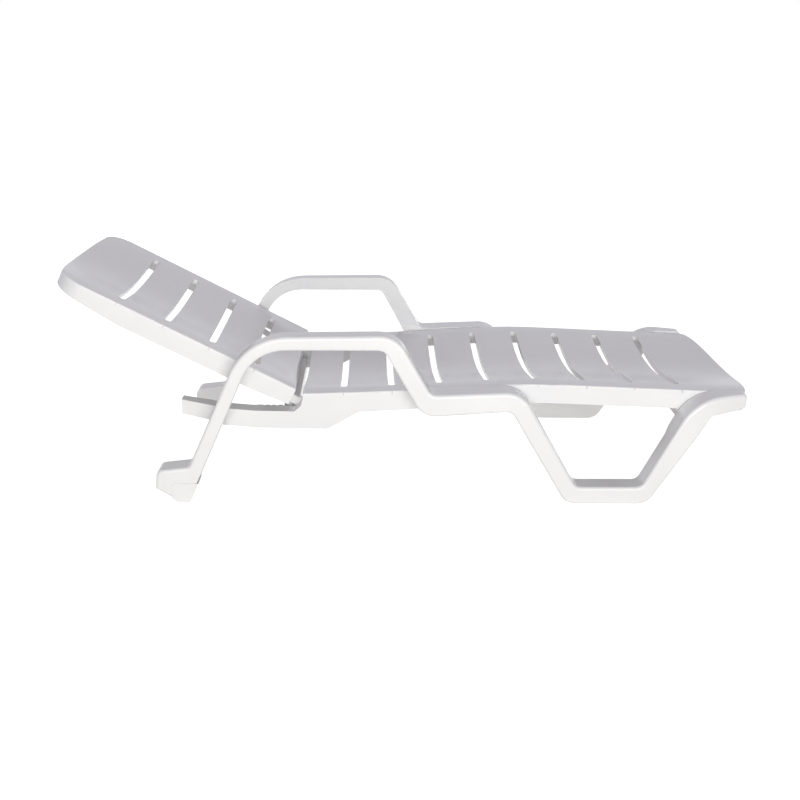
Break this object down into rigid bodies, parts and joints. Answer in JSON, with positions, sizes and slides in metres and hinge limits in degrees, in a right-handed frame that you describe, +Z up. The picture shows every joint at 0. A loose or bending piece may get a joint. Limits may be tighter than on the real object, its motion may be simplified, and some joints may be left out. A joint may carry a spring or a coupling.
{
  "type": "sun lounger",
  "caption": "Moulded plastic sun lounger with slatted bed, arm rests, reclining slatted backrest on a prop and transport wheels in the rear feet.",
  "frame": {"origin": "on the floor under the middle of the lounger's outer box, backrest at its rest angle", "axes": "+X towards the foot end, +Y to the left of a person lying on it, +Z up"},
  "size_m": [1.9324, 0.729, 0.6165],
  "materials": {
    "white_plastic": "satin gloss white moulded plastic",
    "shoe_plastic": "satin white moulded plastic",
    "prop_plastic": "satin white moulded plastic",
    "wheel_plastic": "matt off-white moulded plastic",
    "pin_plastic": "matt white moulded plastic",
    "screw_steel": "plain zinc-plated steel"
  },
  "bodies": {
    "base": {"bed_base": "white_plastic", "side_frame_left": "white_plastic", "side_frame_right": "white_plastic", "rear_foot_shoe_left": "shoe_plastic", "rear_foot_shoe_right": "shoe_plastic", "wheel_axle_left": "pin_plastic", "wheel_axle_right": "pin_plastic", "back_hinge_pin_left": "pin_plastic", "back_hinge_pin_right": "pin_plastic", "frame_screws_left": "screw_steel", "frame_screws_right": "screw_steel"},
    "backrest": {"backrest_panel": "white_plastic", "bail_pin_left": "pin_plastic", "bail_pin_right": "pin_plastic"},
    "bail": {"support_bail": "prop_plastic"},
    "wheel_left": {"rear_wheel_left": "wheel_plastic"},
    "wheel_right": {"rear_wheel_right": "wheel_plastic"}
  },
  "joints": [
    {"name": "backrest_recline", "type": "hinge", "parent": "base", "child": "backrest", "pos_m": [-0.29783, 0, 0.24799], "axis": [0, 1, 0], "range_deg": [-22, 26]},
    {"name": "bail_swing", "type": "hinge", "parent": "backrest", "child": "bail", "pos_m": [-0.53271, 0, 0.38282], "axis": [0, 1, 0], "range_deg": [-7, 7]},
    {"name": "wheel_left_spin", "type": "hinge", "parent": "base", "child": "wheel_left", "pos_m": [-0.65482, 0.332, 0.05], "axis": [0, 1, 0], "continuous": true},
    {"name": "wheel_right_spin", "type": "hinge", "parent": "base", "child": "wheel_right", "pos_m": [-0.65482, -0.332, 0.05], "axis": [0, 1, 0], "continuous": true}
  ],
  "couplings": [
    {"joint": "bail_swing", "follows": "backrest_recline", "ratio": 0.2322}
  ]
}
